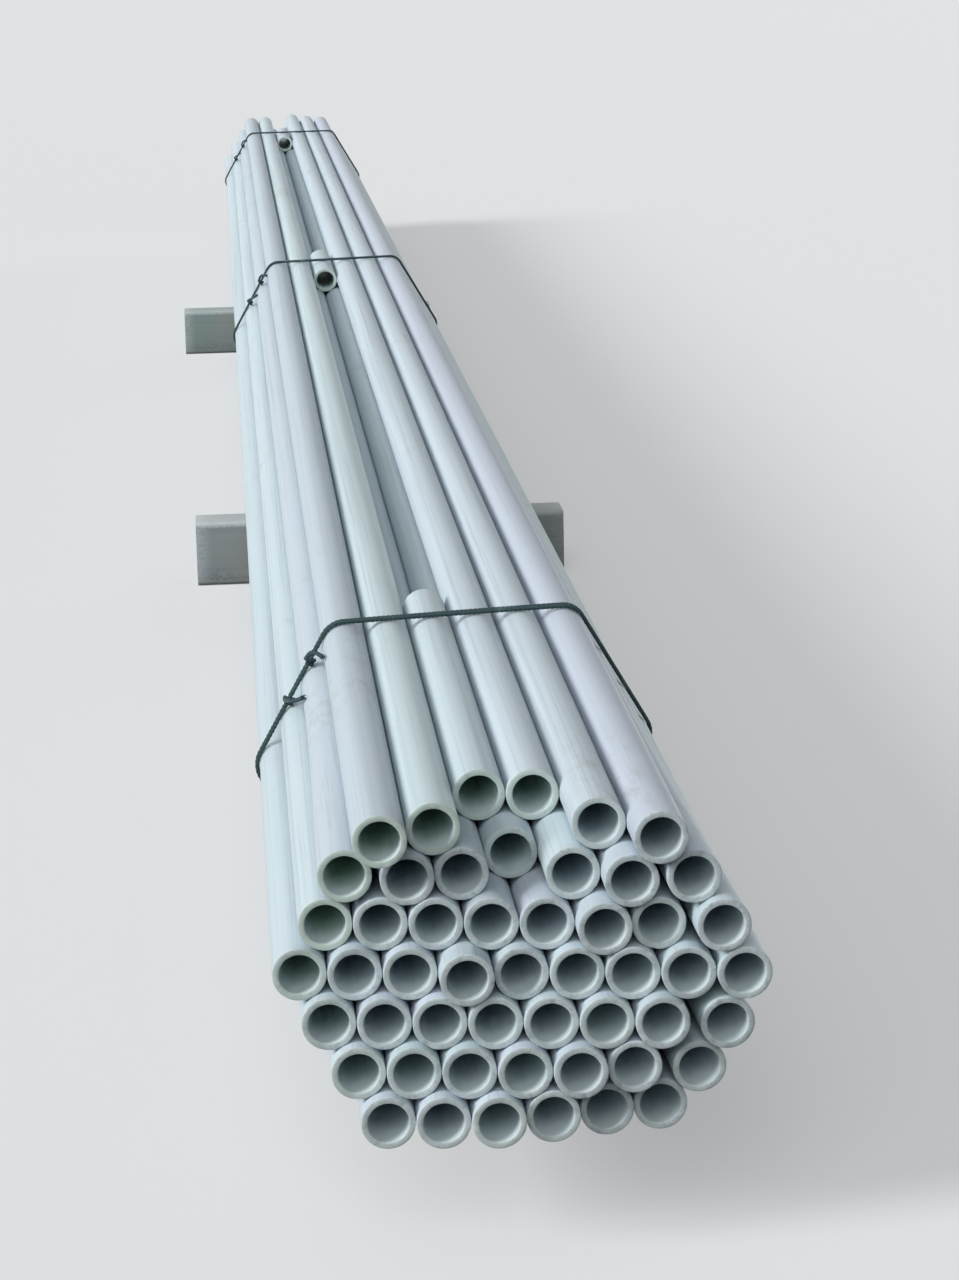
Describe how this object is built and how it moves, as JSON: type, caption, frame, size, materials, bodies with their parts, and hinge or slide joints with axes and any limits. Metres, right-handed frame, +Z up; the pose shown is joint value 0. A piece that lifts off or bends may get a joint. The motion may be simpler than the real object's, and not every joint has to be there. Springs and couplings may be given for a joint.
{
  "type": "bundle of composite pipes",
  "caption": "Hexagonal bundle of long round composite pipes, tied across with dark cord and lying on box-section battens.",
  "frame": {"origin": "on the floor, below the middle of the whole bundle", "axes": "+Y along the pipes, away from the near end; +X to the right, seen from the near end; +Z up"},
  "size_m": [0.49, 6.1096, 0.2967],
  "materials": {
    "pipe": "satin, with fine lengthwise streaks",
    "batten": "satin, scuffed and dusty",
    "cord": "twisted cord with a dull sheen"
  },
  "bodies": {
    "root": {"pipes_row_1": "pipe", "pipes_row_2": "pipe", "pipes_row_3": "pipe", "pipes_row_4": "pipe", "pipes_row_5": "pipe", "pipes_row_6": "pipe", "pipes_row_7": "pipe", "filler_near": "pipe", "filler_middle": "pipe", "filler_far": "pipe", "tie_near": "cord", "tie_middle": "cord", "tie_far": "cord", "batten_near": "batten", "batten_far": "batten"}
  },
  "joints": []
}
